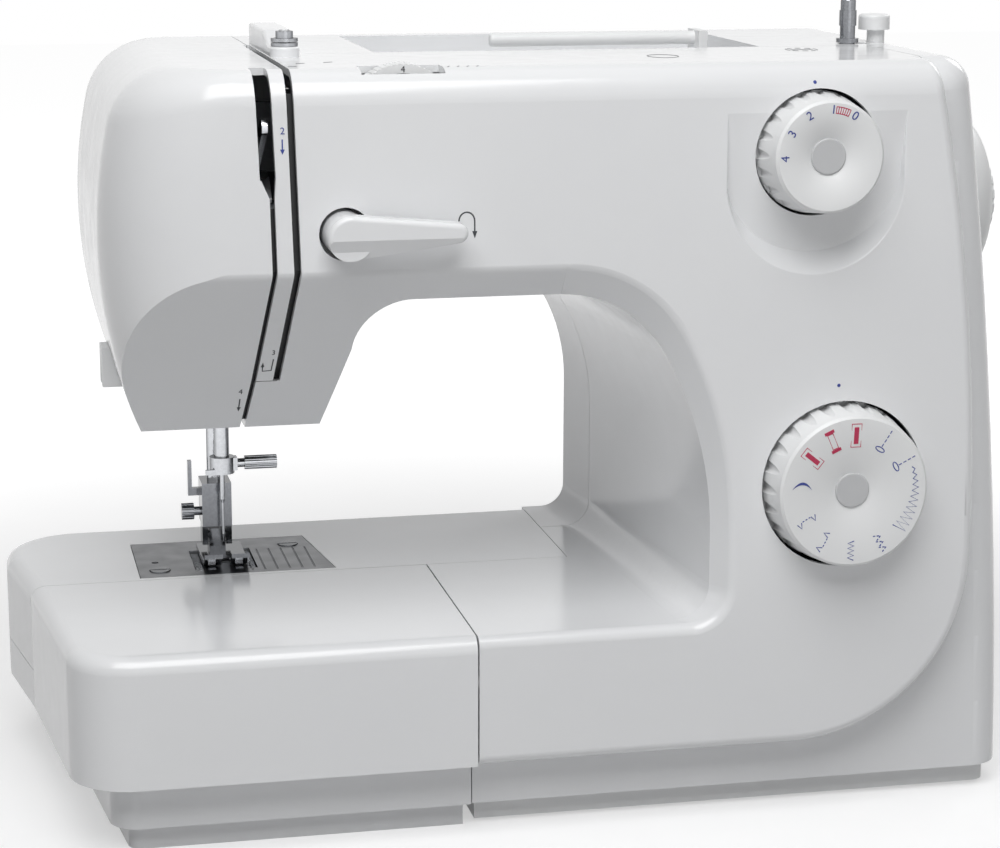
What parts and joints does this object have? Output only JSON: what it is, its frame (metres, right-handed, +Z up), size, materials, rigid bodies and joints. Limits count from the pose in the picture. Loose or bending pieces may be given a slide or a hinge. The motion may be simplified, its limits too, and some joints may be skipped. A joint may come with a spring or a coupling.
{
  "type": "sewing machine",
  "caption": "Free-arm household sewing machine with a pull-off accessory box, turning handwheel and dials, lifting presser foot, moving needle bar and folding handle.",
  "frame": {"origin": "centre of the machine's plan, on the floor it stands on", "axes": "+X to the handwheel side along the arm, +Y to the back, +Z up"},
  "size_m": [0.406, 0.2214, 0.305],
  "materials": {
    "white_plastic": "satin white ABS moulding",
    "grey_plastic": "mid grey moulding",
    "black_plastic": "black moulding",
    "black_rubber": "soft rubber",
    "steel": "ground steel",
    "chrome": "bright plated steel",
    "cast_aluminium": "die-cast",
    "brass": "plain bearing bronze",
    "lamp_glass": "clear lamp glass"
  },
  "bodies": {
    "machine": {"front_cover": "white_plastic", "rear_cover": "white_plastic", "face_cover": "white_plastic", "base_plate": "white_plastic", "free_arm_cover": "white_plastic", "free_arm_base": "white_plastic", "rubber_feet": "black_rubber", "main_frame": "cast_aluminium", "shaft_bushes": "brass", "control_plate": "steel", "presser_spring": "steel", "lamp_bulb": "lamp_glass", "thread_cutter": "white_plastic", "needle_plate": "chrome", "plate_screws": "steel", "hook_race": "steel", "race_ring": "chrome", "bobbin_case": "chrome", "motor": "black_plastic", "drive_belt": "black_rubber", "tension_discs": "steel", "top_thread_guide": "white_plastic", "guide_discs": "steel", "spool_pin": "grey_plastic", "winder_stop": "white_plastic", "inlet_socket": "black_plastic", "cover_screws": "steel"},
    "drive": {"crankshaft": "steel", "handwheel": "white_plastic", "shaft_pulley": "black_plastic"},
    "clutch": {"clutch_knob": "white_plastic"},
    "motor_rotor": {"motor_pulley": "steel"},
    "needle_set": {"needle_bar": "chrome", "needle_bar_link": "steel", "needle_clamp": "chrome", "needle_clamp_screw": "chrome", "needle": "chrome"},
    "presser_set": {"presser_bar": "chrome", "presser_ankle": "chrome", "foot_thumb_screw": "chrome"},
    "foot": {"presser_foot": "chrome"},
    "lifter": {"presser_lifter": "steel"},
    "take_up": {"take_up_lever": "chrome"},
    "feed": {"feed_dog": "steel"},
    "hook": {"shuttle_hook": "steel", "hook_shaft": "steel"},
    "hook_wheel": {"hook_gear": "steel"},
    "bobbin_reel": {"bobbin": "chrome"},
    "tension_knob": {"tension_dial": "white_plastic"},
    "length_knob": {"stitch_length_dial": "white_plastic", "stitch_length_cap": "grey_plastic"},
    "pattern_knob": {"pattern_dial": "white_plastic", "pattern_cap": "grey_plastic"},
    "reverse": {"reverse_lever": "white_plastic"},
    "winder": {"winder_carriage": "grey_plastic"},
    "winder_pin": {"winder_spindle": "grey_plastic"},
    "handle": {"carry_handle": "white_plastic"},
    "box": {"accessory_box": "white_plastic"},
    "door": {"shuttle_cover": "white_plastic"},
    "switch": {"power_switch": "black_plastic"}
  },
  "joints": [
    {"name": "handwheel_turn", "type": "hinge", "parent": "machine", "child": "drive", "pos_m": [0.113, 0.02725, 0.22], "axis": [1, 0, 0], "continuous": true},
    {"name": "clutch_turn", "type": "hinge", "parent": "drive", "child": "clutch", "pos_m": [0.113, 0.02725, 0.22], "axis": [1, 0, 0], "range_deg": [0, 60]},
    {"name": "motor_turn", "type": "hinge", "parent": "machine", "child": "motor_rotor", "pos_m": [0.113, 0.02725, 0.058], "axis": [1, 0, 0], "continuous": true},
    {"name": "needle_bar_travel", "type": "slide", "parent": "machine", "child": "needle_set", "axis": [0, 0, -1], "range_m": [0, 0.028]},
    {"name": "take_up_swing", "type": "hinge", "parent": "machine", "child": "take_up", "pos_m": [-0.112, -0.01675, 0.228], "axis": [1, 0, 0], "range_deg": [-6, 12]},
    {"name": "lifter_swing", "type": "hinge", "parent": "machine", "child": "lifter", "pos_m": [-0.131, 0.03925, 0.19], "axis": [1, 0, 0], "range_deg": [0, 44]},
    {"name": "presser_lift", "type": "slide", "parent": "machine", "child": "presser_set", "axis": [0, 0, 1], "range_m": [0, 0.0062], "deforming": ["presser_spring"]},
    {"name": "foot_rock", "type": "hinge", "parent": "presser_set", "child": "foot", "pos_m": [-0.1185, 0.04125, 0.0875], "axis": [1, 0, 0], "range_deg": [-3, 1]},
    {"name": "feed_move", "type": "slide", "parent": "machine", "child": "feed", "axis": [0, 1, 0], "range_m": [-0.002, 0.002]},
    {"name": "hook_wheel_turn", "type": "hinge", "parent": "machine", "child": "hook_wheel", "pos_m": [-0.092, 0.03525, 0.05], "axis": [0, 1, 0], "range_deg": [-60, 60]},
    {"name": "hook_swing", "type": "hinge", "parent": "machine", "child": "hook", "pos_m": [-0.117, 0.03525, 0.05], "axis": [0, 1, 0], "range_deg": [-92, 92]},
    {"name": "bobbin_spin", "type": "hinge", "parent": "machine", "child": "bobbin_reel", "pos_m": [-0.117, 0.01725, 0.05], "axis": [0, 1, 0], "continuous": true},
    {"name": "tension_turn", "type": "hinge", "parent": "machine", "child": "tension_knob", "pos_m": [-0.063, -0.07675, 0.2695], "axis": [0, -1, 0], "range_deg": [-135, 135]},
    {"name": "stitch_length_turn", "type": "hinge", "parent": "machine", "child": "length_knob", "pos_m": [0.0886, -0.07675, 0.2545], "axis": [0, -1, 0], "range_deg": [-94, 32]},
    {"name": "pattern_turn", "type": "hinge", "parent": "machine", "child": "pattern_knob", "pos_m": [0.1016, -0.07675, 0.1306], "axis": [0, -1, 0], "continuous": true},
    {"name": "reverse_press", "type": "hinge", "parent": "machine", "child": "reverse", "pos_m": [-0.085, -0.07675, 0.23], "axis": [0, 1, 0], "range_deg": [0, 15], "stiffness_Nm_per_rad": 0.4, "springref_deg": -2.86},
    {"name": "winder_engage", "type": "slide", "parent": "machine", "child": "winder", "axis": [1, 0, 0], "range_m": [0, 0.0045]},
    {"name": "winder_spin", "type": "hinge", "parent": "winder", "child": "winder_pin", "pos_m": [0.1305, -0.00675, 0.287], "axis": [0, 0, 1], "continuous": true},
    {"name": "handle_raise", "type": "hinge", "parent": "machine", "child": "handle", "pos_m": [0.027, 0.08525, 0.27], "axis": [1, 0, 0], "range_deg": [0, 170]},
    {"name": "box_pull", "type": "slide", "parent": "machine", "child": "box", "axis": [-1, 0, 0], "range_m": [0, 0.25]},
    {"name": "door_open", "type": "hinge", "parent": "machine", "child": "door", "pos_m": [-0.117, 0.00845, 0.037], "axis": [1, 0, 0], "range_deg": [0, 80]},
    {"name": "switch_rock", "type": "hinge", "parent": "machine", "child": "switch", "pos_m": [0.164, 0.03525, 0.04], "axis": [0, 0, 1], "range_deg": [-8, 8]}
  ],
  "couplings": [
    {"joint": "motor_turn", "follows": "handwheel_turn", "ratio": 2.3187},
    {"joint": "presser_lift", "follows": "lifter_swing", "m_per_rad": 0.0078131},
    {"joint": "hook_swing", "follows": "hook_wheel_turn", "ratio": -1.5}
  ]
}
